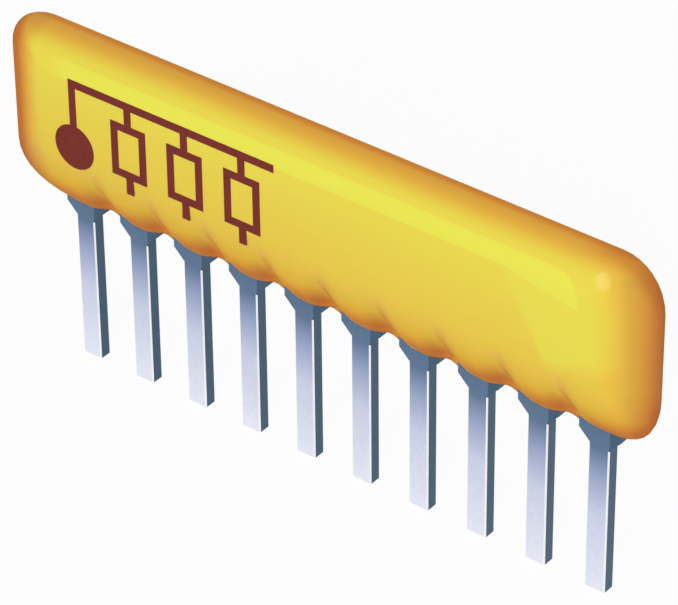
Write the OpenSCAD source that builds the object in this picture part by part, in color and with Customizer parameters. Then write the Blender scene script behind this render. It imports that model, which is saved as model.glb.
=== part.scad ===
// Thick-film resistor network in a ten-lead single-in-line package, conformally coated.
// Frame: +X along the lead row with lead 1 at -X, marked face towards -Y, +Z up.
// The origin is the middle of the lead row at the board seat, where the tapers reach the tails.
// Millimetres.

/* [Leads] */
// Spacing of the leads along the row
pitch = 2.54; // [2.2:0.02:3]
// Length of the tails below the board seat
tail_len = 6.2; // [3:0.1:12]
// Width of a tail
tail_w = 0.84; // [0.6:0.02:1.1]
// Thickness of the lead stock
stock_t = 0.5; // [0.4:0.02:0.6]
// Rolled-off edge along the four corners of a tail
tail_edge = 0.03; // [0.02:0.01:0.1]
// Width of the shoulder above the taper
shoulder_w = 1.72; // [1.4:0.02:2]
// Width of the middle prong of the clip, which grips the front of the substrate
prong_w = 0.6; // [0.45:0.01:0.75]
// Slot on either side of the middle prong
prong_slot = 0.16; // [0.1:0.01:0.22]
// Reach of the three prongs above the lower edge of the substrate
prong_reach = 1.3; // [1:0.05:1.6]
// Inside radius of the bends in the middle prong
bend_r = 0.15; // [0.1:0.01:0.2]

/* [Substrate] */
// Thickness of the ceramic plate
plate_t = 0.64; // [0.5:0.02:0.8]
// Height of the ceramic plate
plate_h = 4.6; // [3.8:0.1:6]
// Plate beyond the centre of the outermost leads
plate_margin = 1.2; // [0.95:0.05:1.5]
// Lower edge of the plate above the board seat
plate_z = 2.85; // [2.5:0.05:3.4]

/* [Printed films] */
// Thickness of the printed conductors
conductor_t = 0.04; // [0.02:0.005:0.08]
// Thickness of the resistor films
resistor_t = 0.04; // [0.02:0.005:0.08]
// Thickness of the glass overglaze above the resistor films
glaze_t = 0.05; // [0.03:0.005:0.1]
// Overglaze past the edges of the resistor films
glaze_edge = 0.06; // [0.03:0.01:0.1]
// Width of the lead pads
pad_w = 1.5; // [1.3:0.05:1.8]
// Height of the common conductor along the top of the plate
bus_h = 0.7; // [0.5:0.05:0.9]
// Bare margin of the plate above the common conductor
bus_margin = 0.3; // [0.2:0.05:0.5]
// Width of a resistor film
resistor_w = 1.1; // [0.8:0.05:1.4]
// Lap of the resistor films on the conductors
lap = 0.2; // [0.12:0.01:0.3]
// Width of the laser trim cut
kerf_w = 0.08; // [0.05:0.01:0.12]
// Depth of the deepest trim cut into the side of a resistor film
kerf_depth = 0.55; // [0.3:0.05:0.7]

/* [Solder] */
// Width of the solder joint at the pad
solder_w = 1.24; // [1:0.02:1.3]
// Solder above the tip of the middle prong
solder_cap = 0.2; // [0.1:0.01:0.3]
// Height by which the solder climbs the flanks of the middle prong
solder_climb = 0.35; // [0.25:0.01:0.38]
// Width of the solder's crest on each flank
solder_crest = 0.06; // [0.03:0.01:0.1]
// Bare pad between the solder and the resistor film
solder_gap = 0.2; // [0.1:0.01:0.3]

/* [Coating] */
// Coating over the prongs, front and back
face_cover = 0.36; // [0.28:0.02:0.5]
// Coating past the ends of the plate
end_cover = 1.27; // [1:0.02:1.6]
// Coating above the top of the plate
top_cover = 0.75; // [0.6:0.05:1]
// Lowest edge of the coating at each lead, above the top of the lead's taper
edge_rise = 0.06; // [0.02:0.02:0.4]
// Rise of the coating's edge between two leads
arch_rise = 0.27; // [0.06:0.01:0.36]
// Further rise of the coating's edge from the last arch to the last lead
last_rise = 0.14; // [0:0.02:0.24]
// Height over the plate's lower edge at which the front starts to curve in towards the leads
belly_rise = 1.05; // [0.7:0.05:1.4]
// Height over the lowest edge at which the back starts to curve in
back_curl = 1.3; // [0.9:0.05:1.8]
// Lowest edge of the coating behind the front face of the leads
rim_inset = 0.05; // [0.02:0.01:0.2]
// Depth of the rounding along the top
top_round = 1.2; // [0.9:0.05:1.5]
// Depth of the rounding at the ends
end_round = 1.9; // [1.5:0.05:2.3]
// Corner radius of the flat face inside the rounding
face_corner_r = 0.35; // [0.2:0.05:0.5]
// Outline radius of the upper corner by lead 1
upper_r_first = 1; // [0.7:0.05:1.6]
// Outline radius of the upper corner by the last lead
upper_r_last = 2; // [1.4:0.05:2.5]
// Outline radius of the lower corner by lead 1
lower_r_first = 2.45; // [1.6:0.05:2.8]
// Outline radius of the lower corner by the last lead
lower_r_last = 2.1; // [1.6:0.05:2.8]

/* [Hidden] */
lead_n = 10;

// Places along the lead row
row_half = (lead_n - 1) / 2 * pitch;
last_arch = row_half - pitch / 2;
plate_half = row_half + plate_margin;
coat_half = plate_half + end_cover;
face_x = coat_half - end_round - face_corner_r;

// Heights of the clip, of the prints on the plate and of the coating
taper_h = (shoulder_w - tail_w) / 2;
clip_top = plate_z + prong_reach;
rung_low = plate_z - bend_r - stock_t;
bend_z = rung_low - bend_r;
crotch_z = bend_z - prong_slot;
pad_top = clip_top + solder_cap + solder_gap + lap;
bus_top = plate_z + plate_h - bus_margin;
bus_low = bus_top - bus_h;
coat_top = plate_z + plate_h + top_cover;
face_top = coat_top - top_round;
belly_z = plate_z + belly_rise;
lobe_z = taper_h + edge_rise;

// Depths, from the back of the coating to its front
coat_back = stock_t / 2 + face_cover;
plate_back = -stock_t / 2;
plate_front = plate_back - plate_t;
pad_front = plate_front - conductor_t;
lap_front = pad_front - resistor_t;
prong_front = pad_front - stock_t;
coat_front = prong_front - face_cover;
coat_mid = (coat_front + coat_back) / 2;
low_rim_y = plate_back + rim_inset;

// Fineness of the coating's loft and of the bends. The low stations gather at the valleys.
n_across = 11;
n_top = 22;
n_low = 126;
n_corner = 8;
n_bend = 6;
gather = 0.2;

// Handles of the curve across the coating's rim, as shares of its width and of its depth.
// The round rim is an ellipse. Over a lead the low rim is full. Between two leads it climbs along the
// leads before it comes forward, which leaves a valley. The valleys lean towards the last lead, by a
// share of the pitch.
round_handle = 0.5523;
lobe_rim_handle = 0.1;
lobe_rim_lift = 0.08;
lobe_face_handle = 0.61;
valley_rim_handle = 0.06;
valley_rim_lift = 0.28;
valley_face_handle = 0.5;
valley_lean = 0.16;
valley_sharpness = 2.5;
arch_sharpness = 2.5;

// Trim cuts differ from film to film: shallowest share of the depth, and turn from one to the next
least_trim = 0.4;
trim_turn = 140;

ceramic = [0.93, 0.92, 0.88];
tinned = [0.72, 0.76, 0.83];
solder_grey = [0.62, 0.64, 0.66];
silver_print = [0.80, 0.79, 0.74];
resistor_black = [0.13, 0.13, 0.15];
glaze_green = [0.16, 0.36, 0.30];
coat_yellow = [0.89, 0.76, 0.26];

function lead_x(k) = (k - (lead_n + 1) / 2) * pitch;
function mix(a, b, f) = a + (b - a) * f;
function smooth(f) = f * f * (3 - 2 * f);
function cubic(a, b, c, d, f) =
    a * pow(1 - f, 3) + 3 * b * pow(1 - f, 2) * f + 3 * c * (1 - f) * f * f + d * pow(f, 3);
function bend(y, z, r, from, to) =
    [for (k = [0:n_bend]) let (a = mix(from, to, k / n_bend)) [y + r * cos(a), z + r * sin(a)]];

// A block along the plate, given by its middle and width, its heights and its depths
module print_block(x, w, z_low, z_high, y_back, y_front) {
    translate([x - w / 2, y_front, z_low]) cube([w, y_back - y_front, z_high - z_low]);
}

// Flat stamping of a lead: taper, shoulder and the two outer prongs behind the plate
module lead_blade() {
    slot_half = prong_w / 2 + prong_slot;
    half = [
        [tail_w / 2, 0], [shoulder_w / 2, taper_h], [shoulder_w / 2, clip_top],
        [slot_half, clip_top], [slot_half, crotch_z]];
    other_half = [for (k = [len(half) - 1:-1:0]) [-half[k][0], half[k][1]]];
    rotate([90, 0, 0]) linear_extrude(stock_t, center = true) polygon(concat(half, other_half));
}

// Tail of a lead, with its four edges rolled off
module lead_tail() {
    a = tail_w / 2;
    b = stock_t / 2;
    e = tail_edge;
    translate([0, 0, -tail_len]) linear_extrude(tail_len)
        polygon([
            [a - e, -b], [a, e - b], [a, b - e], [a - e, b],
            [e - a, b], [-a, b - e], [-a, e - b], [e - a, -b]]);
}

// Middle prong: up from the blade, forward under the plate and up its front face
module lead_prong() {
    root_z = crotch_z - prong_slot;
    rear_y = plate_back - bend_r;
    front_y = pad_front + bend_r;
    outer_r = bend_r + stock_t;
    side = concat(
        [[stock_t / 2, root_z]],
        bend(rear_y, bend_z, outer_r, 0, 90),
        bend(front_y, plate_z, bend_r, 270, 180),
        [[pad_front, clip_top], [prong_front, clip_top]],
        bend(front_y, plate_z, outer_r, 180, 270),
        bend(rear_y, bend_z, bend_r, 90, 0),
        [[plate_back, root_z]]);
    rotate([90, 0, 90]) linear_extrude(prong_w, center = true) polygon(side);
}

module lead(k) {
    color(tinned) translate([lead_x(k), 0, 0]) {
        lead_blade();
        lead_tail();
        lead_prong();
    }
}

module substrate() {
    color(ceramic) print_block(0, 2 * plate_half, plate_z, plate_z + plate_h, plate_back, plate_front);
}

// The prints lie on the plate's front. As cutters they start at the plate's back.
module pad(k, y_back = plate_front) {
    color(silver_print) print_block(lead_x(k), pad_w, plate_z, pad_top, y_back, pad_front);
}

// Conductor along the top of the plate, with the leg that brings it down to lead 1
module common_bus(y_back = plate_front) {
    bar_w = lead_x(lead_n) - lead_x(1) + pad_w;
    color(silver_print) {
        print_block(0, bar_w, bus_low, bus_top, y_back, pad_front);
        print_block(lead_x(1), pad_w, plate_z, bus_top, y_back, pad_front);
    }
}

// Wedge of solder round the middle prong and over its tip, with a root through the print to the plate
module solder_wedge(k) {
    foot = solder_w / 2;
    crest = prong_w / 2 + solder_crest;
    crest_y = pad_front - solder_climb;
    translate([lead_x(k), 0, plate_z]) linear_extrude(prong_reach + solder_cap)
        polygon([
            [-foot, plate_back], [-foot, pad_front], [-crest, crest_y],
            [crest, crest_y], [foot, pad_front], [foot, plate_back]]);
}

// Solder is what the lead and the print under it leave of the wedge
module solder(k) {
    color(solder_grey) difference() {
        solder_wedge(k);
        lead(k);
        if (k == 1) common_bus(plate_back);
        else pad(k, plate_back);
    }
}

// Resistor film from a pad up to the common conductor, lapped on both and trimmed from one side
module resistor(k) {
    x = lead_x(k + 1);
    trim_z = mix(pad_top, bus_low, 0.5);
    trim_share = mix(least_trim, 1, (1 + sin(trim_turn * k)) / 2);
    color(resistor_black) difference() {
        union() {
            print_block(x, resistor_w, pad_top, bus_low, plate_front, lap_front);
            print_block(x, resistor_w, pad_top - lap, bus_low + lap, pad_front, lap_front);
        }
        print_block(x - resistor_w / 2, 2 * kerf_depth * trim_share, trim_z - kerf_w / 2,
            trim_z + kerf_w / 2, plate_back, prong_front);
    }
}

// Glass sheet over all resistor films and the ends of their conductors
module glaze_sheet(y_back = plate_front) {
    sheet_w = lead_x(lead_n) - lead_x(2) + resistor_w + 2 * glaze_edge;
    print_block((lead_x(2) + lead_x(lead_n)) / 2, sheet_w, pad_top - lap - glaze_edge,
        bus_low + lap + glaze_edge, y_back, lap_front - glaze_t);
}

module overglaze() {
    color(glaze_green) difference() {
        glaze_sheet();
        common_bus();
        for (k = [2:lead_n]) pad(k);
        for (k = [1:lead_n - 1]) resistor(k);
    }
}

// Outline stations of the coating, anticlockwise as seen from the front. Each holds x and z on the
// rim, x and z where the flat face begins, its share of the low rim and its share of a valley.
function top_stations() =
    [for (k = [0:n_top]) let (f = k / n_top)
        [mix(coat_half - upper_r_last, upper_r_first - coat_half, f), coat_top,
         mix(face_x, -face_x, f), face_top, 0, 0]];

// A quarter turn that starts at the angle from. It keeps the end that lies on a side of the outline.
function corner_stations(side, upper, r, from, low_start, low_end) =
    let (rim_x = side * (coat_half - r),
         rim_z = upper ? coat_top - r : lobe_z + end_rise(side * coat_half) + r,
         flat_z = upper ? face_top - face_corner_r : belly_z + face_corner_r,
         first = from % 180 == 0 ? 0 : 1)
    [for (k = [first:first + n_corner - 1]) let (f = k / n_corner, a = from + 90 * f)
        [rim_x + r * cos(a), rim_z + r * sin(a),
         side * face_x + face_corner_r * cos(a), flat_z + face_corner_r * sin(a),
         smooth(mix(low_start, low_end, f)), 0]];

// 0 at a lead and 1 midway between two leads
function between_leads(x, sharpness) =
    abs(x) > row_half ? 0 : pow((1 - cos(360 * (x + row_half) / pitch)) / 2, sharpness);

function gathered(x) =
    abs(x) > row_half ? x : x + gather * pitch / (2 * PI) * sin(360 * (x + row_half) / pitch);

function end_rise(x) = last_rise * smooth(max(0, min(1, (x - last_arch) / (row_half - last_arch))));

// Stations keep their x up to the last arch, and from there the face ends before the rim does
function face_x_over(x, rim_end) =
    abs(x) <= last_arch ? x
        : sign(x) * mix(last_arch, face_x, (abs(x) - last_arch) / (rim_end - last_arch));

function low_stations() =
    let (first_end = coat_half - lower_r_first, last_end = coat_half - lower_r_last)
    [for (k = [0:n_low]) let (x = gathered(mix(-first_end, last_end, k / n_low)))
        [x, lobe_z + arch_rise * between_leads(x, arch_sharpness) + end_rise(x),
         face_x_over(x, x < 0 ? first_end : last_end), belly_z,
         1, between_leads(x - valley_lean * pitch, valley_sharpness)]];

function stations() = concat(
    top_stations(),
    corner_stations(-1, true, upper_r_first, 90, 0, 0),
    corner_stations(-1, false, lower_r_first, 180, 0, 1),
    low_stations(),
    corner_stations(1, false, lower_r_last, 270, 1, 0),
    corner_stations(1, true, upper_r_last, 0, 0, 0));

// One point of the coating's skin at a station: f runs from the rim (0) to the flat face (1)
function skin_point(s, f, front) =
    let (low = s[4],
         valley = s[5],
         rim_y = mix(coat_mid, low_rim_y, low),
         face_y = front ? coat_front : coat_back,
         face_z = front ? s[3] : mix(s[3], lobe_z + back_curl, low),
         shaped = front ? low : 0,
         rim_handle = mix(round_handle, mix(lobe_rim_handle, valley_rim_handle, valley), shaped),
         rim_lift = mix(lobe_rim_lift, valley_rim_lift, valley) * shaped,
         face_handle = mix(round_handle, mix(lobe_face_handle, valley_face_handle, valley), shaped),
         inward = cubic(0, rim_lift, 1 - face_handle, 1, f),
         across = cubic(0, rim_handle, 1, 1, f))
    [mix(s[0], s[2], inward), mix(rim_y, face_y, across), mix(s[1], face_z, inward)];

// Triangles of one flat face, between its edge stations and a spine along its middle
function flat_faces(edge, spine, n) =
    let (low = n_top + 1 + 2 * n_corner,
         near = [for (k = [0:n_low]) round((1 - k / n_low) * n_top)])
    concat(
        [for (k = [0:n_top - 1]) each [
            [edge + k + 1, edge + k, spine + k],
            [edge + k + 1, spine + k, spine + k + 1]]],
        [for (i = [n_top:low - 1]) [edge + i + 1, edge + i, spine + n_top]],
        [for (k = [0:n_low - 1]) [edge + low + k + 1, edge + low + k, spine + near[k]]],
        [for (k = [0:n_low - 1]) if (near[k + 1] != near[k])
            [edge + low + k + 1, spine + near[k], spine + near[k + 1]]],
        [for (i = [low + n_low:n - 1]) [edge + (i + 1) % n, edge + i, spine]]);

// Closed skin of the coating: rows of stations from the front face over the rim to the back face
module coating_skin() {
    ring = stations();
    n = len(ring);
    rows = 2 * n_across + 1;
    spine_z = (face_top + belly_z) / 2;
    points = concat(
        [for (r = [0:rows - 1], s = ring) skin_point(s, abs(n_across - r) / n_across, r < n_across)],
        [for (y = [coat_front, coat_back], k = [0:n_top]) [ring[k][2], y, spine_z]]);
    band = [for (r = [0:rows - 2], i = [0:n - 1])
        let (a = r * n + i, b = r * n + (i + 1) % n)
        each [[a, b, b + n], [a, b + n, a + n]]];
    front = flat_faces(0, rows * n, n);
    back = flat_faces((rows - 1) * n, rows * n + n_top + 1, n);
    polyhedron(points, concat(band, front, [for (t = back) [t[2], t[1], t[0]]]), convexity = 6);
}

module coating() {
    color(coat_yellow) difference() {
        coating_skin();
        substrate();
        common_bus(plate_back);
        glaze_sheet(plate_back);
        for (k = [1:lead_n]) {
            lead(k);
            solder_wedge(k);
        }
        for (k = [2:lead_n]) pad(k, plate_back);
    }
}

coating();
substrate();
overglaze();
common_bus();
for (k = [1:lead_n]) {
    lead(k);
    solder(k);
}
for (k = [2:lead_n]) pad(k);
for (k = [1:lead_n - 1]) resistor(k);
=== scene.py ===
import math

import bpy
from mathutils import Matrix, Quaternion, Vector

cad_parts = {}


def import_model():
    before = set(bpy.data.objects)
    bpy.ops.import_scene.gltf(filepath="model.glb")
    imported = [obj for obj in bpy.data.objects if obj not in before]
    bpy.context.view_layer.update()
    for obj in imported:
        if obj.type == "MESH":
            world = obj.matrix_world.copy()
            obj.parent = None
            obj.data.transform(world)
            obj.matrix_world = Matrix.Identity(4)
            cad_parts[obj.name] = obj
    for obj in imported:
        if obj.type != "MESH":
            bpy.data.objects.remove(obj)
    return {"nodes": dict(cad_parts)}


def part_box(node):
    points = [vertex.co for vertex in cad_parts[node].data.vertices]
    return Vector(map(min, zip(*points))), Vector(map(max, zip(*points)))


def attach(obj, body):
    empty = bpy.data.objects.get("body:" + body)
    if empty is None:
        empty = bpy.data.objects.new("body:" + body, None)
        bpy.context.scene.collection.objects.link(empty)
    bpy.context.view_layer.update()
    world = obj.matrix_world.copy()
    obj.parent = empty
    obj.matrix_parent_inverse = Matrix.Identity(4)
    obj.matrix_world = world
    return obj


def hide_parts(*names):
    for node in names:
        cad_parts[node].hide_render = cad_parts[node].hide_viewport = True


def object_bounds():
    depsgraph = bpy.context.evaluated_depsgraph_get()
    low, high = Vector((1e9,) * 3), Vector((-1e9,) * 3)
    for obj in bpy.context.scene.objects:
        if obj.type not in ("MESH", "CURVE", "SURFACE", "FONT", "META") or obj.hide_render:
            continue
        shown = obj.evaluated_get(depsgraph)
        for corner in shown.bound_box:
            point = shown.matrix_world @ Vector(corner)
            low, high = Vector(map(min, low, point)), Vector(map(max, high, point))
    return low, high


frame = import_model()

cad_low, cad_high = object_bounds()

MM = 0.001

# Camera at the photograph's view: degrees, metres and pixels of the 678 by 605 frame
PHOTO_WIDTH = 678
VIEW_AZIMUTH = 38.28
VIEW_ELEVATION = 35.06
VIEW_ROLL = -0.61
VIEW_DISTANCE = 142.37 * MM
VIEW_TARGET = Vector((0.12, 0, 0.94)) * MM
FOCAL_PIXELS = 4066.7
SENSOR_WIDTH = 36
NEAR_CLIP = 1 * MM
FAR_CLIP = 10

# Light and floor
LAMP_DISTANCE = 0.4
AMBIENT = 0.39
FLOOR_SIZE = 4
FLOOR_GREY = 0.75
FLOOR_GLOW = 0.95

# Skin of the coating: how near the points of a seam lie, and the angle up to which an edge is smooth
SEAM_GAP = 0.001 * MM
SMOOTH_DEGREES = 35

# Marking ink on the front of the coating
INK_PROUD = 0.012 * MM
INK_SUNK = 0.02 * MM
DOT_X = -10.37 * MM
DOT_Z = 4.24 * MM
DOT_RADIUS = 0.9 * MM
DOT_SIDES = 72
STROKE = 0.32 * MM

# The network's diagram in ink: a bus down to the dot, with resistor boxes hanging from it, in strokes
DIAGRAM_COLUMNS = 29
DIAGRAM_ROWS = 12
DROP_ROWS = 6
BOX_FIRST = 6
BOX_STEP = 8
BOX_WIDE = 5
BOX_COUNT = 3
BOX_TOP = 3
BOX_LOW = 9

# Leads, in millimetres as the finishes read them
LEAD_PITCH = 2.54
TAIL_WIDTH = 0.84
TAIL_TIP = -6.2
TAIL_TOP = -0.1
SHOULDER_LOW = 0.0
SHOULDER_HIGH = 1.0
BRIGHT_LINE = 0.065

# How far a lead's surface faces sideways where the painted shade of its sheared side starts and where the
# painted highlight of its rolled edge ends
SIDE_STARTS = (0.4, 0.6)
ROLLED_ENDS = (0.78, 0.86)
LEAD_FRONT = -0.5

# Where the coating's colour changes along X and Z, by its paler face and by painted sheen, highlight and
# shade: starts, and runs from start to end, in millimetres
FACE_PALES = (3.9, 6.7)
PANEL_LEFT = (12.0, 12.4)
PANEL_LEFT_SLANT = 0.55
PANEL_LOW = (0.5, 1.4)
PANEL_LOW_SLANT = -0.27
BAND_FIRST_END = (-11.7, -10.3)
BAND_LOW = (6.92, 6.99)
BAND_DIP_FROM = 8.4
BAND_DIP_SLANT = 0.195
BLADE_FROM_X = 9.97
BLADE_FROM_Z = 6.35
BLADE_LONG = 1.44
BLADE_HIGH = 1.3
BELLY_FROM = 3.75
LOBES_FROM = 2.75
LAST_CORNER_END = (11.6, 12.6)
LAST_CORNER_LOW = (4.2, 2.0)
LAST_CREST_END = (10.4, 12.4)
FIRST_CREST_END = (-12.0, -12.7)
FIRST_CORNER_END = (-11.8, -13.0)
FIRST_CORNER_LOW = (4.2, 2.8)

# Where it changes by the way it faces: X to the last end, Y to the back and Z up, from -1 to 1
FRONT_ENDS = (0.1, -0.2)
PANEL_ENDS_UP = (0.1, 0.5)
BAND_ENDS_UP = (0.38, 0.78)
LAST_END_STARTS = (0.1, 0.5)
LAST_CREST_BACK = (-0.55, 0.1)
LAST_CREST_UP = (0.3, 0.8)
FIRST_CREST_UP = (0.4, 0.75)
UPPER_CORNER_BACK = -0.35
TOP_STARTS = 0.7
CREST_STARTS = 0.5
RIM_PASSED = (-0.2, 0.3)
BACK_STARTS = (0.85, 0.97)

# How fast the painted shade turns it to orange and brown. A turn is orange at the first of these values and
# brown at the second
ORANGE_AT = 0.5
BROWN_AT = 1.1
BELLY_RATE = 0.2
LOBES_RATE = 0.75
LAST_CORNER_RATE = 0.85
UPPER_CORNER_RATE = 0.8
FIRST_END_RATE = -3.1
FIRST_END_OFFSET = -0.07
TOP_RATE = 1.35
PAST_CREST_RATE = 2.7

# Shares of the painted shade's browns that are laid over the crest and a corner, and of the pale clouds
LAST_CREST_SHARE = 0.45
FIRST_CREST_SHARE = 0.42
FIRST_CORNER_SHARE = 0.7
CLOUD_SHARE = 0.04

# The blade at the end of the painted highlight band: the power of its curve and the run of its edge
BLADE_POWER = 3.0
BLADE_EDGE = (0.9, 1.06)

# Gloss of the coating, which is lost where it turns away from its face
FACE_ROUGHNESS = 0.04
DULL_RISE = 0.8
UNDER_DULLS = (0.0, 0.3)
TOP_DULL_RATE = 1.6
TOP_DULL_OFFSET = -0.24


def srgb(red, green, blue):
    """A colour written as on screen, 0 to 255, as linear light."""
    def linear(value):
        share = value / 255
        return share / 12.92 if share <= 0.04045 else ((share + 0.055) / 1.055) ** 2.4
    return (linear(red), linear(green), linear(blue), 1)


WHITE = (1, 1, 1, 1)

# Colours of the coating, with painted sheen, painted highlight and painted shade
FACE_GOLD = srgb(228, 198, 70)
HIGH_GOLD = srgb(229, 211, 75)
# Painted sheen: the paler panel at the face's last end
SHEEN_GOLD = srgb(228, 215, 76)
# Painted highlight: the lemon band under the top edge
HIGHLIGHT_LEMON = srgb(228, 224, 79)
CLOUD_YELLOW = srgb(240, 226, 110)
# Painted shade: orange, then brown, where the coating turns away at its rims, ends, crests and corners
LOW_SHADE_ORANGE = srgb(231, 172, 58)
LOW_SHADE_BROWN = srgb(216, 132, 55)
LAST_END_SHADE_ORANGE = srgb(210, 164, 62)
LAST_END_SHADE_BROWN = srgb(204, 112, 50)
FIRST_END_SHADE_ORANGE = srgb(226, 168, 64)
FIRST_END_SHADE_BROWN = srgb(206, 120, 50)
TOP_SHADE_ORANGE = srgb(240, 166, 62)
TOP_SHADE_BROWN = srgb(214, 102, 44)
LAST_CREST_SHADE = srgb(206, 104, 48)
FIRST_CREST_SHADE = srgb(206, 140, 58)
FIRST_CORNER_SHADE = srgb(196, 112, 50)

# Colours of the ink
INK_DARK = srgb(110, 41, 36)
INK_PALE = srgb(121, 48, 42)

# Colours of the leads' tin plate, with a painted reflection pale to the tip, painted shade darker up by the
# coating and on the sides, and a painted highlight on the rolled edges
TIN_TIP = srgb(233, 235, 246)
TIN_LOW = srgb(206, 211, 232)
TIN_HIGH = srgb(154, 167, 200)
TIN_TAPER = srgb(95, 118, 148)
TIN_SHOULDER = srgb(86, 112, 138)
TIN_SIDE_SHADE = srgb(60, 85, 105)
TIN_EDGE_HIGHLIGHT = srgb(252, 253, 255)
TIN_SHADE = srgb(66, 90, 112)
TIN_WORN = srgb(120, 136, 160)
WORN_SHARE = 0.14


# Node helpers

def add_node(tree, kind, sockets=None, **settings):
    """A node with its settings and its inputs, which are values or the sockets that feed them."""
    made = tree.nodes.new(kind)
    for name, value in settings.items():
        setattr(made, name, value)
    for name, value in (sockets or {}).items():
        feed(tree, made.inputs[name], value)
    return made


def feed(tree, socket, value):
    """Links a socket to what feeds it, or sets its value."""
    if isinstance(value, bpy.types.NodeSocket):
        tree.links.new(value, socket)
    else:
        socket.default_value = value


def calc(tree, operation, *values):
    """The output of a Math node."""
    made = add_node(tree, "ShaderNodeMath", dict(enumerate(values)), operation=operation)
    return made.outputs[0]


def product(tree, first, *others):
    """All the values multiplied."""
    for value in others:
        first = calc(tree, "MULTIPLY", first, value)
    return first


def largest(tree, first, *others):
    """The largest of the values."""
    for value in others:
        first = calc(tree, "MAXIMUM", first, value)
    return first


def excess(tree, value, limit):
    """How far a value lies over a limit, and 0 below it."""
    return calc(tree, "MAXIMUM", calc(tree, "SUBTRACT", value, limit), 0.0)


def inverse(tree, mask):
    """1 where the mask is 0."""
    return calc(tree, "SUBTRACT", 1.0, mask)


def ramp_mask(tree, value, start, end):
    """0 before start and 1 after end, with a smooth run between them."""
    made = add_node(tree, "ShaderNodeMapRange", {"Value": value, "From Min": start, "From Max": end},
                    interpolation_type="SMOOTHSTEP", clamp=True)
    return made.outputs["Result"]


def ramp_linear(tree, value, start, end):
    """0 before start and 1 after end, with a straight run between them."""
    made = add_node(tree, "ShaderNodeMapRange", {"Value": value, "From Min": start, "From Max": end},
                    clamp=True)
    return made.outputs["Result"]


def blend_colour(tree, mask, before, after):
    """The first colour where the mask is 0 and the second where it is 1."""
    made = add_node(tree, "ShaderNodeMix", data_type="RGBA")
    feed(tree, made.inputs[0], mask)
    feed(tree, made.inputs[6], before)
    feed(tree, made.inputs[7], after)
    return made.outputs[2]


def object_place(tree):
    """X, Y and Z of the surface in millimetres, from Object coordinates."""
    coordinates = add_node(tree, "ShaderNodeTexCoord").outputs["Object"]
    scaled = add_node(tree, "ShaderNodeVectorMath", {0: coordinates, "Scale": 1 / MM}, operation="SCALE")
    return scaled.outputs[0]


def parts_of(tree, vector):
    """The vector's X, Y and Z."""
    return add_node(tree, "ShaderNodeSeparateXYZ", {0: vector}).outputs


def new_material(name, roughness, metallic=0.0, specular=0.5):
    """A material with an empty Principled shader. Returns the material, its tree and the shader."""
    material = bpy.data.materials.new(name)
    material.use_nodes = True
    tree = material.node_tree
    shader = tree.nodes["Principled BSDF"]
    shader.inputs["Roughness"].default_value = roughness
    shader.inputs["Metallic"].default_value = metallic
    shader.inputs["Specular IOR Level"].default_value = specular
    return material, tree, shader


def mottle_group():
    """Fine mottle that several finishes share: a mask about one half, and a height for bump."""
    tree = bpy.data.node_groups.new("fine_mottle", "ShaderNodeTree")
    for name in ("Scale", "Detail", "Contrast"):
        tree.interface.new_socket(name, in_out="INPUT", socket_type="NodeSocketFloat")
    for name in ("Mask", "Height"):
        tree.interface.new_socket(name, in_out="OUTPUT", socket_type="NodeSocketFloat")
    given = tree.nodes.new("NodeGroupInput")
    shown = tree.nodes.new("NodeGroupOutput")
    noise = add_node(tree, "ShaderNodeTexNoise", {
        "Vector": object_place(tree), "Scale": given.outputs["Scale"], "Detail": given.outputs["Detail"]})
    centred = calc(tree, "SUBTRACT", noise.outputs[0], 0.5)
    mask = calc(tree, "MULTIPLY_ADD", centred, given.outputs["Contrast"], 0.5)
    clamped = add_node(tree, "ShaderNodeClamp", {"Value": mask}).outputs[0]
    tree.links.new(clamped, shown.inputs["Mask"])
    tree.links.new(noise.outputs[0], shown.inputs["Height"])
    return tree


MOTTLE = mottle_group()


def mottle(tree, scale, detail, contrast):
    """The mottle in a material, with its own values."""
    made = add_node(tree, "ShaderNodeGroup", node_tree=MOTTLE)
    feed(tree, made.inputs["Scale"], scale)
    feed(tree, made.inputs["Detail"], detail)
    feed(tree, made.inputs["Contrast"], contrast)
    return made.outputs


def bump(tree, shader, height, strength, distance):
    """Relief in the shader's normal."""
    made = add_node(tree, "ShaderNodeBump", {"Height": height, "Strength": strength, "Distance": distance})
    tree.links.new(made.outputs[0], shader.inputs["Normal"])


# Where the coating changes, with its painted sheen, highlight and shade

def front_only(tree, facing):
    """Mask of the front of the coating, up to its crest and round to its ends."""
    return ramp_mask(tree, facing["Y"], *FRONT_ENDS)


def painted_sheen_panel(tree, place, facing):
    """Mask of a painted sheen: the paler end of the face by the last lead, with a slanting edge to the left
    and below.
    """
    slant = calc(tree, "MULTIPLY_ADD", place["Z"], PANEL_LEFT_SLANT, place["X"])
    past_left = ramp_mask(tree, slant, *PANEL_LEFT)
    level = calc(tree, "MULTIPLY_ADD", place["X"], PANEL_LOW_SLANT, place["Z"])
    above_low = ramp_mask(tree, level, *PANEL_LOW)
    flat = inverse(tree, ramp_mask(tree, facing["Z"], *PANEL_ENDS_UP))
    return product(tree, past_left, flat, front_only(tree, facing), above_low)


def highlight_blade_end(tree, place):
    """Mask of all but the last corner, where the painted highlight band ends in a blade."""
    reach = calc(tree, "DIVIDE", excess(tree, place["X"], BLADE_FROM_X), BLADE_LONG)
    rise = calc(tree, "DIVIDE", excess(tree, place["Z"], BLADE_FROM_Z), BLADE_HIGH)
    far = calc(tree, "ADD", calc(tree, "POWER", reach, BLADE_POWER), calc(tree, "POWER", rise, BLADE_POWER))
    return inverse(tree, ramp_mask(tree, far, *BLADE_EDGE))


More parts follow.
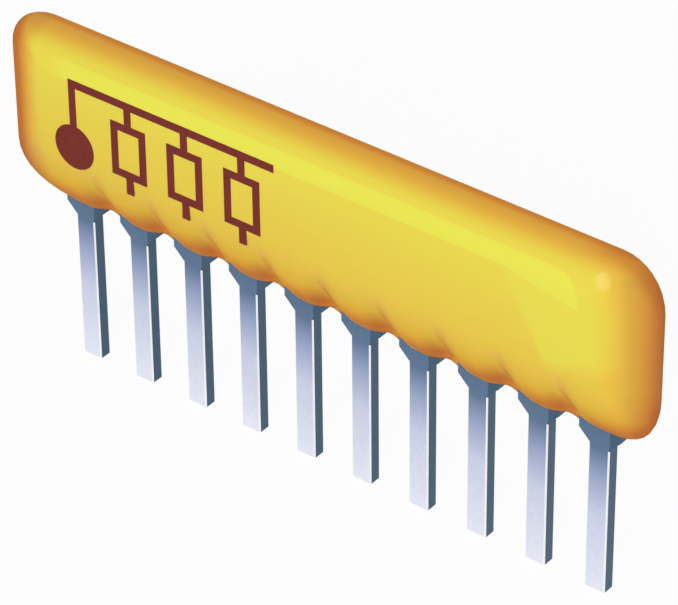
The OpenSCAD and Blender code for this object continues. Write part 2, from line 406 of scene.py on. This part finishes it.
def painted_highlight_band(tree, place, facing):
    """Mask of a painted highlight: the paler strip where the face starts to round over the top."""
    dip = product(tree, excess(tree, place["X"], BAND_DIP_FROM), BAND_DIP_SLANT)
    past_low = ramp_mask(tree, calc(tree, "ADD", place["Z"], dip), *BAND_LOW)
    before_crest = inverse(tree, ramp_mask(tree, facing["Z"], *BAND_ENDS_UP))
    past_first = ramp_mask(tree, place["X"], *BAND_FIRST_END)
    ends = product(tree, highlight_blade_end(tree, place), past_first)
    return product(tree, past_low, before_crest, ends, front_only(tree, facing))


def lobe_turn(tree, place):
    """How far the coating has curved in under its face towards the leads, which sets the painted shade there
    and dulls its gloss.
    """
    belly = product(tree, calc(tree, "SUBTRACT", BELLY_FROM, place["Z"]), BELLY_RATE)
    lobes = product(tree, calc(tree, "SUBTRACT", LOBES_FROM, place["Z"]), LOBES_RATE)
    return largest(tree, belly, lobes)


def last_low_corner(tree, place, facing, under):
    """Extra turn of painted shade at the lower last corner, where the coating curves in under and round the
    end.
    """
    both = largest(tree, calc(tree, "MINIMUM", under, facing["X"]), 0.0)
    near_end = ramp_mask(tree, place["X"], *LAST_CORNER_END)
    low = ramp_mask(tree, place["Z"], *LAST_CORNER_LOW)
    return product(tree, both, near_end, low, LAST_CORNER_RATE)


def last_upper_corner(tree, facing):
    """Extra turn of painted shade at the upper last corner, where the coating curves over its crest and round
    the end.
    """
    endwards = excess(tree, facing["X"], 0.0)
    upwards = excess(tree, facing["Z"], 0.0)
    past_front = excess(tree, facing["Y"], UPPER_CORNER_BACK)
    return product(tree, endwards, upwards, past_front, UPPER_CORNER_RATE)


def low_turn(tree, place, facing, under):
    """How far the coating has turned in under its face or round its last end, for the painted shade there."""
    corners = calc(tree, "ADD", last_low_corner(tree, place, facing, under), last_upper_corner(tree, facing))
    return calc(tree, "ADD", largest(tree, under, facing["X"]), corners)


def top_turn(tree, facing):
    """How far the coating has turned over its top, more past the crest, for the painted shade there."""
    behind = excess(tree, facing["Y"], 0.0)
    past_crest = product(tree, behind, excess(tree, facing["Z"], CREST_STARTS), PAST_CREST_RATE)
    return calc(tree, "MULTIPLY_ADD", excess(tree, facing["Z"], TOP_STARTS), TOP_RATE, past_crest)


def last_crest_shade_mask(tree, place, facing):
    """Mask of painted shade on the crest where it nears the last end. It is browner there than along the rest
    of the top.
    """
    near_end = ramp_mask(tree, place["X"], *LAST_CREST_END)
    past_front = ramp_mask(tree, facing["Y"], *LAST_CREST_BACK)
    upwards = ramp_mask(tree, facing["Z"], *LAST_CREST_UP)
    return product(tree, near_end, past_front, upwards, LAST_CREST_SHARE)


def first_crest_shade_mask(tree, place, facing):
    """Mask of painted shade on the crest where it nears the first end, which is browner as well."""
    near_end = ramp_mask(tree, place["X"], *FIRST_CREST_END)
    upwards = ramp_mask(tree, facing["Z"], *FIRST_CREST_UP)
    return product(tree, near_end, upwards, FIRST_CREST_SHARE)


def first_corner_shade_mask(tree, place):
    """Mask of painted shade at the lower first corner, browner towards its rim."""
    near_end = ramp_linear(tree, place["X"], *FIRST_CORNER_END)
    low = ramp_mask(tree, place["Z"], *FIRST_CORNER_LOW)
    return product(tree, near_end, low, FIRST_CORNER_SHARE)


def rim_shade(tree, colour, turn, orange, brown):
    """A colour with painted shade: it goes to orange over the first part of a turn, and then to brown."""
    part_way = blend_colour(tree, ramp_linear(tree, turn, 0.0, ORANGE_AT), colour, orange)
    return blend_colour(tree, ramp_linear(tree, turn, ORANGE_AT, BROWN_AT), part_way, brown)


# Finishes

def face_colour(tree, place, facing):
    """Gold that grows paler up the face, with the painted sheen panel and the painted highlight band."""
    height = ramp_linear(tree, place["Z"], *FACE_PALES)
    face = blend_colour(tree, height, FACE_GOLD, HIGH_GOLD)
    panel = blend_colour(tree, painted_sheen_panel(tree, place, facing), face, SHEEN_GOLD)
    return blend_colour(tree, painted_highlight_band(tree, place, facing), panel, HIGHLIGHT_LEMON)


def low_rim_shade(tree, colour, facing, turn):
    """The colour with painted shade on the rims under the face and round the last end."""
    past_last = ramp_linear(tree, facing["X"], *LAST_END_STARTS)
    orange = blend_colour(tree, past_last, LOW_SHADE_ORANGE, LAST_END_SHADE_ORANGE)
    brown = blend_colour(tree, past_last, LOW_SHADE_BROWN, LAST_END_SHADE_BROWN)
    return rim_shade(tree, colour, turn, orange, brown)


def shade_corners(tree, colour, place, facing):
    """The colour with more painted shade, in brown, on the crest by both ends and at the lower first corner.
    """
    over_last = blend_colour(tree, last_crest_shade_mask(tree, place, facing), colour, LAST_CREST_SHADE)
    over_crests = blend_colour(tree, first_crest_shade_mask(tree, place, facing), over_last, FIRST_CREST_SHADE)
    return blend_colour(tree, first_corner_shade_mask(tree, place), over_crests, FIRST_CORNER_SHADE)


def coat_roughness(tree, facing, under, first_turn, high_turn):
    """Glossy on the faces and duller on the rims."""
    past_rim = ramp_mask(tree, facing["Y"], *RIM_PASSED)
    at_back = ramp_mask(tree, facing["Y"], *BACK_STARTS)
    behind_rim = calc(tree, "SUBTRACT", past_rim, at_back)
    dull_under = ramp_linear(tree, under, *UNDER_DULLS)
    dull_top = calc(tree, "MULTIPLY_ADD", high_turn, TOP_DULL_RATE, TOP_DULL_OFFSET)
    dulled = largest(tree, dull_under, dull_top, first_turn, behind_rim, 0.0)
    return calc(tree, "MULTIPLY_ADD", dulled, DULL_RISE, FACE_ROUGHNESS)


def epoxy_finish():
    """Dipped epoxy: gold on the faces, a painted lemon highlight under the top edge, and painted shade from
    orange to brown at its rims.
    """
    material, tree, shader = new_material("dipped_epoxy", FACE_ROUGHNESS, specular=0.07)
    place = parts_of(tree, object_place(tree))
    facing = parts_of(tree, add_node(tree, "ShaderNodeTexCoord").outputs["Normal"])
    under = lobe_turn(tree, place)
    first_turn = calc(tree, "MULTIPLY_ADD", facing["X"], FIRST_END_RATE, FIRST_END_OFFSET)
    high_turn = top_turn(tree, facing)
    face = face_colour(tree, place, facing)
    over_low = low_rim_shade(tree, face, facing, low_turn(tree, place, facing, under))
    over_first = rim_shade(tree, over_low, first_turn, FIRST_END_SHADE_ORANGE, FIRST_END_SHADE_BROWN)
    over_top = rim_shade(tree, over_first, high_turn, TOP_SHADE_ORANGE, TOP_SHADE_BROWN)
    over_all = shade_corners(tree, over_top, place, facing)
    cloud = mottle(tree, scale=0.9, detail=2.0, contrast=1.4)
    shade = blend_colour(tree, product(tree, cloud["Mask"], CLOUD_SHARE), over_all, CLOUD_YELLOW)
    tree.links.new(shade, shader.inputs["Base Color"])
    roughness = coat_roughness(tree, facing, under, first_turn, high_turn)
    tree.links.new(roughness, shader.inputs["Roughness"])
    skin = mottle(tree, scale=3.0, detail=2.0, contrast=1.0)
    bump(tree, shader, skin["Height"], strength=0.06, distance=0.02 * MM)
    return material


def mottled_finish(name, dark, pale, scale, roughness, metallic=0.0):
    """A plain fired or reflowed finish of two near colours."""
    material, tree, shader = new_material(name, roughness, metallic)
    uneven = mottle(tree, scale, detail=4.0, contrast=2.0)
    tree.links.new(blend_colour(tree, uneven["Mask"], dark, pale), shader.inputs["Base Color"])
    bump(tree, shader, uneven["Height"], strength=0.15, distance=0.01 * MM)
    return material


def ink_finish():
    """Stamped brown ink, a little uneven."""
    material, tree, shader = new_material("brown_ink", roughness=0.6, specular=0.08)
    uneven = mottle(tree, scale=6.0, detail=4.0, contrast=2.2)
    tree.links.new(blend_colour(tree, uneven["Mask"], INK_DARK, INK_PALE), shader.inputs["Base Color"])
    bump(tree, shader, uneven["Height"], strength=0.1, distance=0.01 * MM)
    return material


def across_lead(tree, place, limit):
    """Mask of what lies further across a lead than the limit, in millimetres from its middle line."""
    across = calc(tree, "FRACT", calc(tree, "DIVIDE", place["X"], LEAD_PITCH))
    return calc(tree, "GREATER_THAN", across, 0.5 + limit / LEAD_PITCH)


def front_of_lead(tree, facing):
    """Mask of a lead's flat front."""
    return calc(tree, "LESS_THAN", facing["Y"], LEAD_FRONT)


def edge_highlight(tree, place, facing):
    """Mask of a painted highlight: the bright line on the front of a tail, along its far rolled edge."""
    beside_edge = across_lead(tree, place, TAIL_WIDTH / 2 - BRIGHT_LINE)
    return product(tree, beside_edge, front_of_lead(tree, facing))


def shoulder_shade(tree, place, facing):
    """Mask of painted shade on the front of each shoulder past the tail's far edge."""
    past_tail = across_lead(tree, place, TAIL_WIDTH / 2)
    above_tail = calc(tree, "GREATER_THAN", place["Z"], SHOULDER_LOW)
    return product(tree, past_tail, above_tail, front_of_lead(tree, facing))


def painted_reflection_along(tree, place):
    """A painted reflection and shade from a lead's tip up to its shoulder: pale at the tip, slate up by the
    coating.
    """
    height = ramp_linear(tree, place["Z"], TAIL_TIP, SHOULDER_HIGH)
    along = add_node(tree, "ShaderNodeValToRGB", {"Fac": height})
    stops = along.color_ramp.elements
    stops[0].position, stops[0].color = 0.0, TIN_TIP
    stops[1].position, stops[1].color = 1.0, TIN_SHOULDER
    for position, colour in ((0.45, TIN_LOW), (0.68, TIN_HIGH), (0.84, TIN_TAPER)):
        stop = stops.new(position)
        stop.color = colour
    return along.outputs[0]


def tinned_finish():
    """Satin tin plate, with painted reflection and shade that is slate by the coating and paler to the tip,
    painted shade on the sides and a painted highlight on rolled edges.
    """
    material, tree, shader = new_material("tinned_lead", roughness=0.36, metallic=1.0)
    place = parts_of(tree, object_place(tree))
    facing = parts_of(tree, add_node(tree, "ShaderNodeNewGeometry").outputs["True Normal"])
    sideways = calc(tree, "ABSOLUTE", facing["X"])
    side = ramp_mask(tree, sideways, *SIDE_STARTS)
    rolled = calc(tree, "SUBTRACT", side, ramp_mask(tree, sideways, *ROLLED_ENDS))
    bright = largest(tree, rolled, edge_highlight(tree, place, facing))
    tail_only = calc(tree, "LESS_THAN", place["Z"], TAIL_TOP)
    # Painted shade on the sides, a painted highlight along the rolled edges and painted shade on the
    # shoulders
    faces = blend_colour(tree, side, painted_reflection_along(tree, place), TIN_SIDE_SHADE)
    edged = blend_colour(tree, product(tree, bright, tail_only), faces, TIN_EDGE_HIGHLIGHT)
    shoulder = blend_colour(tree, shoulder_shade(tree, place, facing), edged, TIN_SHADE)
    dull = mottle(tree, scale=5.0, detail=4.0, contrast=1.6)
    worn = blend_colour(tree, product(tree, dull["Mask"], WORN_SHARE), shoulder, TIN_WORN)
    tree.links.new(worn, shader.inputs["Base Color"])
    bump(tree, shader, dull["Height"], strength=0.05, distance=0.01 * MM)
    return material


def dress_nodes(epoxy):
    """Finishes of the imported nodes, by a node's whole name or its first word."""
    silver = mottled_finish("silver_print", srgb(196, 192, 178), srgb(222, 219, 208),
                            scale=12, roughness=0.4, metallic=1.0)
    finishes = {
        "coating": epoxy,
        "lead": tinned_finish(),
        "substrate": mottled_finish("fired_alumina", srgb(236, 233, 224), srgb(246, 244, 238),
                                    scale=8, roughness=0.7),
        "common_bus": silver,
        "pad": silver,
        "resistor": mottled_finish("resistor_film", srgb(26, 26, 30), srgb(44, 44, 50),
                                   scale=15, roughness=0.6),
        "overglaze": mottled_finish("green_glass", srgb(38, 88, 74), srgb(52, 104, 88),
                                    scale=3, roughness=0.15),
        "solder": mottled_finish("reflowed_solder", srgb(150, 154, 158), srgb(186, 189, 192),
                                 scale=4, roughness=0.25, metallic=1.0),
    }
    for name, node in frame["nodes"].items():
        finish = finishes.get(name) or finishes[name.split("_")[0]]
        node.data.materials.clear()
        node.data.materials.append(finish)


# Pieces

def deselect_all():
    """Leaves edit mode and selects nothing."""
    if bpy.context.object and bpy.context.object.mode != "OBJECT":
        bpy.ops.object.mode_set(mode="OBJECT")
    bpy.ops.object.select_all(action="DESELECT")


def edit_whole(piece):
    """Opens a piece in edit mode, selected all over."""
    deselect_all()
    piece.select_set(True)
    bpy.context.view_layer.objects.active = piece
    bpy.ops.object.mode_set(mode="EDIT")
    bpy.ops.mesh.select_all(action="SELECT")


def apply_place():
    """Puts the active piece's place, turn and scale into its mesh."""
    bpy.ops.object.transform_apply(location=True, rotation=True, scale=True)


def finish_piece(piece, material):
    """The piece's own material and its body."""
    piece.data.materials.clear()
    piece.data.materials.append(material)
    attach(piece, "root")


def coat_skin(material):
    """The coating with its seams merged and its curves shaded smooth."""
    piece = bpy.data.objects.new("coat_skin", frame["nodes"]["coating"].data.copy())
    bpy.context.scene.collection.objects.link(piece)
    edit_whole(piece)
    bpy.ops.mesh.remove_doubles(threshold=SEAM_GAP)
    bpy.ops.object.mode_set(mode="OBJECT")
    bpy.ops.object.shade_smooth_by_angle(angle=math.radians(SMOOTH_DEGREES))
    finish_piece(piece, material)
    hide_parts("coating")


def raise_ink(piece):
    """Turns a flat print into a thin closed layer that is sunk into the coating's face."""
    edit_whole(piece)
    bpy.ops.mesh.extrude_region_move(TRANSFORM_OT_translate={"value": (0, -INK_PROUD - INK_SUNK, 0)})
    bpy.ops.mesh.select_all(action="SELECT")
    bpy.ops.mesh.normals_make_consistent(inside=False)
    bpy.ops.object.mode_set(mode="OBJECT")


def pin_one_dot(face_y, material):
    """The dot at lead 1."""
    deselect_all()
    bpy.ops.mesh.primitive_circle_add(
        vertices=DOT_SIDES, radius=DOT_RADIUS, fill_type="NGON",
        location=(DOT_X, face_y + INK_SUNK, DOT_Z), rotation=(math.pi / 2, 0, 0))
    piece = bpy.context.object
    piece.name = "pin_one_dot"
    apply_place()
    raise_ink(piece)
    finish_piece(piece, material)


def in_diagram(column, row):
    """Whether a stroke's square of the diagram is inked. Row 0 is the bus, column 0 runs down to the dot."""
    if row == 0:
        return True
    if column == 0:
        return row < DROP_ROWS
    box, place = divmod(column - BOX_FIRST, BOX_STEP)
    if not 0 <= box < BOX_COUNT or place >= BOX_WIDE:
        return False
    if place == BOX_WIDE // 2 and not BOX_TOP < row < BOX_LOW:
        return True
    return BOX_TOP <= row <= BOX_LOW and (place in (0, BOX_WIDE - 1) or row in (BOX_TOP, BOX_LOW))


def network_diagram(face_y, material):
    """The network as a plain circuit diagram: a grid of strokes cut back to the inked ones."""
    deselect_all()
    width, height = DIAGRAM_COLUMNS * STROKE, DIAGRAM_ROWS * STROKE
    left, top = DOT_X - STROKE / 2, DOT_Z + DOT_RADIUS + DROP_ROWS * STROKE
    bpy.ops.mesh.primitive_grid_add(
        x_subdivisions=DIAGRAM_COLUMNS, y_subdivisions=DIAGRAM_ROWS, size=1,
        location=(left + width / 2, face_y + INK_SUNK, top - height / 2), rotation=(math.pi / 2, 0, 0))
    piece = bpy.context.object
    piece.name = "network_diagram"
    piece.scale = (width, height, 1)
    apply_place()
    bpy.ops.object.mode_set(mode="EDIT")
    bpy.ops.mesh.select_mode(type="FACE")
    bpy.ops.mesh.select_all(action="DESELECT")
    bpy.ops.object.mode_set(mode="OBJECT")
    for face in piece.data.polygons:
        column = int((face.center.x - left) / STROKE)
        row = int((top - face.center.z) / STROKE)
        face.select = not in_diagram(column, row)
    bpy.ops.object.mode_set(mode="EDIT")
    bpy.ops.mesh.delete(type="FACE")
    raise_ink(piece)
    finish_piece(piece, material)


# Stage

def seen_directly(tree):
    """1 for rays from the camera, off a gloss or through glass, which see the background."""
    rays = add_node(tree, "ShaderNodeLightPath").outputs
    return largest(tree, rays["Is Camera Ray"], rays["Is Glossy Ray"], rays["Is Transmission Ray"])


def floor_material():
    """Pale floor that keeps the object's shadow and is white to the camera and in reflections."""
    material, tree, shader = new_material("pale_floor", roughness=0.9, specular=0.0)
    shader.inputs["Base Color"].default_value = (FLOOR_GREY, FLOOR_GREY, FLOOR_GREY, 1)
    glow = add_node(tree, "ShaderNodeEmission", {"Color": WHITE, "Strength": 1.0})
    mixed = add_node(tree, "ShaderNodeMixShader", {0: product(tree, seen_directly(tree), FLOOR_GLOW)})
    tree.links.new(shader.outputs[0], mixed.inputs[1])
    tree.links.new(glow.outputs[0], mixed.inputs[2])
    tree.links.new(mixed.outputs[0], tree.nodes["Material Output"].inputs["Surface"])
    return material


def floor():
    """A wide plane under the lead tips."""
    deselect_all()
    bpy.ops.mesh.primitive_plane_add(size=FLOOR_SIZE, location=(0, 0, cad_low.z))
    piece = bpy.context.object
    piece.name = "floor"
    apply_place()
    piece.data.materials.append(floor_material())


def world():
    """Even light from all round, white where the camera or a reflection sees it."""
    scene_world = bpy.data.worlds.new("studio")
    bpy.context.scene.world = scene_world
    scene_world.use_nodes = True
    tree = scene_world.node_tree
    strength = calc(tree, "MULTIPLY_ADD", seen_directly(tree), 1 - AMBIENT, AMBIENT)
    background = tree.nodes["Background"]
    background.inputs["Color"].default_value = WHITE
    tree.links.new(strength, background.inputs["Strength"])


def lamp(name, direction, width, height, level, roll=0.0):
    """A soft oval lamp, rolled by degrees. A level of 1 shows a facing surface in its own colour."""
    data = bpy.data.lights.new(name, "AREA")
    data.shape = "ELLIPSE"
    data.size = width
    data.size_y = height
    data.energy = level * math.pi ** 2 * LAMP_DISTANCE ** 2
    piece = bpy.data.objects.new(name, data)
    bpy.context.scene.collection.objects.link(piece)
    away = Vector(direction).normalized()
    piece.location = away * LAMP_DISTANCE
    piece.rotation_mode = "QUATERNION"
    piece.rotation_quaternion = away.to_track_quat("Z", "Y") @ Quaternion((0, 0, 1), math.radians(roll))
    return piece


def lamps():
    """Key and fill light the surfaces and don't show in the gloss. The spark is only the highlight in it."""
    key = lamp("key", direction=(0.35, -0.79, 0.5), width=0.2, height=0.2, level=0.68)
    key.visible_glossy = False
    spark = lamp("spark", direction=(-0.135, -0.8, 0.595), width=0.185, height=0.42, level=1.25, roll=10)
    spark.visible_diffuse = False
    fill = lamp("fill", direction=(-0.1, 0.95, 0.1), width=0.3, height=0.3, level=0.5)
    fill.visible_glossy = False


def camera():
    """The photograph's view."""
    azimuth, elevation = math.radians(VIEW_AZIMUTH), math.radians(VIEW_ELEVATION)
    back = Vector((math.sin(azimuth) * math.cos(elevation), -math.cos(azimuth) * math.cos(elevation),
                   math.sin(elevation)))
    right = Vector((math.cos(azimuth), math.sin(azimuth), 0))
    axes = Matrix((right, back.cross(right), back)).transposed().to_4x4()
    data = bpy.data.cameras.new("photo_view")
    data.sensor_width = SENSOR_WIDTH
    data.lens = FOCAL_PIXELS / PHOTO_WIDTH * SENSOR_WIDTH
    data.clip_start, data.clip_end = NEAR_CLIP, FAR_CLIP
    piece = bpy.data.objects.new("photo_view", data)
    bpy.context.scene.collection.objects.link(piece)
    roll = Matrix.Rotation(math.radians(VIEW_ROLL), 4, "Z")
    piece.matrix_world = Matrix.Translation(VIEW_TARGET + back * VIEW_DISTANCE) @ axes @ roll
    bpy.context.scene.camera = piece


face_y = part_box("coating")[0].y
camera()
world()
lamps()
floor()
epoxy = epoxy_finish()
dress_nodes(epoxy)
coat_skin(epoxy)
ink = ink_finish()
pin_one_dot(face_y, ink)
network_diagram(face_y, ink)

scene = bpy.context.scene
scene.view_settings.view_transform = "Standard"
